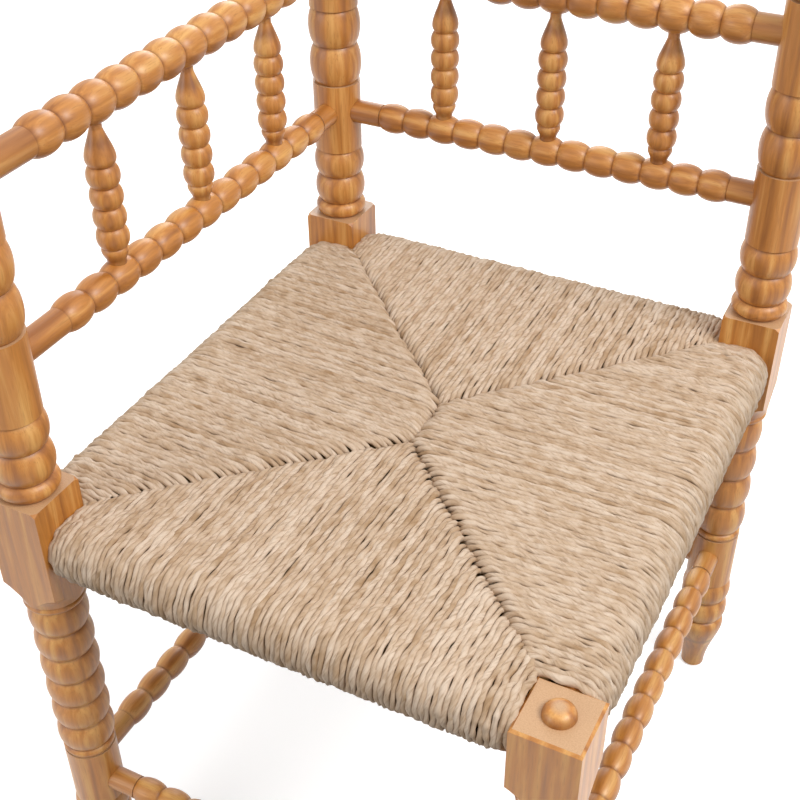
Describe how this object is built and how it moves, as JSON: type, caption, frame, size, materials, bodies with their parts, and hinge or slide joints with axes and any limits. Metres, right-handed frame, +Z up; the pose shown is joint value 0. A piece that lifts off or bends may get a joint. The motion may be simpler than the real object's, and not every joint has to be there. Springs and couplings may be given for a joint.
{
  "type": "corner chair",
  "caption": "Bobbin-turned wooden corner chair with two low spindle backs, beaded stretchers and a woven rush seat, to sit on at a table.",
  "frame": {"origin": "on the floor, under the centre of the rectangle of the four legs", "axes": "+Z up; +X from the left post to the front leg; +Y from the left post to the corner post"},
  "size_m": [0.482, 0.538, 0.801],
  "materials": {
    "turned_wood": "turned and satin lacquered, honey coloured",
    "rush_cord": "twisted natural rush cord, matt",
    "rush_packing": "loose rush offcuts, matt"
  },
  "bodies": {
    "root": {"front_leg_button": "turned_wood", "leg_front": "turned_wood", "packing_front": "rush_packing", "packing_left": "rush_packing", "packing_rear": "rush_packing", "packing_right": "rush_packing", "post_corner": "turned_wood", "post_left": "turned_wood", "post_right": "turned_wood", "rail_left_lower": "turned_wood", "rail_left_top": "turned_wood", "rail_rear_lower": "turned_wood", "rail_rear_top": "turned_wood", "rush_front": "rush_cord", "rush_left": "rush_cord", "rush_rear": "rush_cord", "rush_right": "rush_cord", "seat_bar_front": "turned_wood", "seat_bar_left": "turned_wood", "seat_bar_rear": "turned_wood", "seat_bar_right": "turned_wood", "spindle_left_1": "turned_wood", "spindle_left_2": "turned_wood", "spindle_left_3": "turned_wood", "spindle_rear_1": "turned_wood", "spindle_rear_2": "turned_wood", "spindle_rear_3": "turned_wood", "stretcher_front": "turned_wood", "stretcher_left": "turned_wood", "stretcher_rear": "turned_wood", "stretcher_right": "turned_wood"}
  },
  "joints": []
}
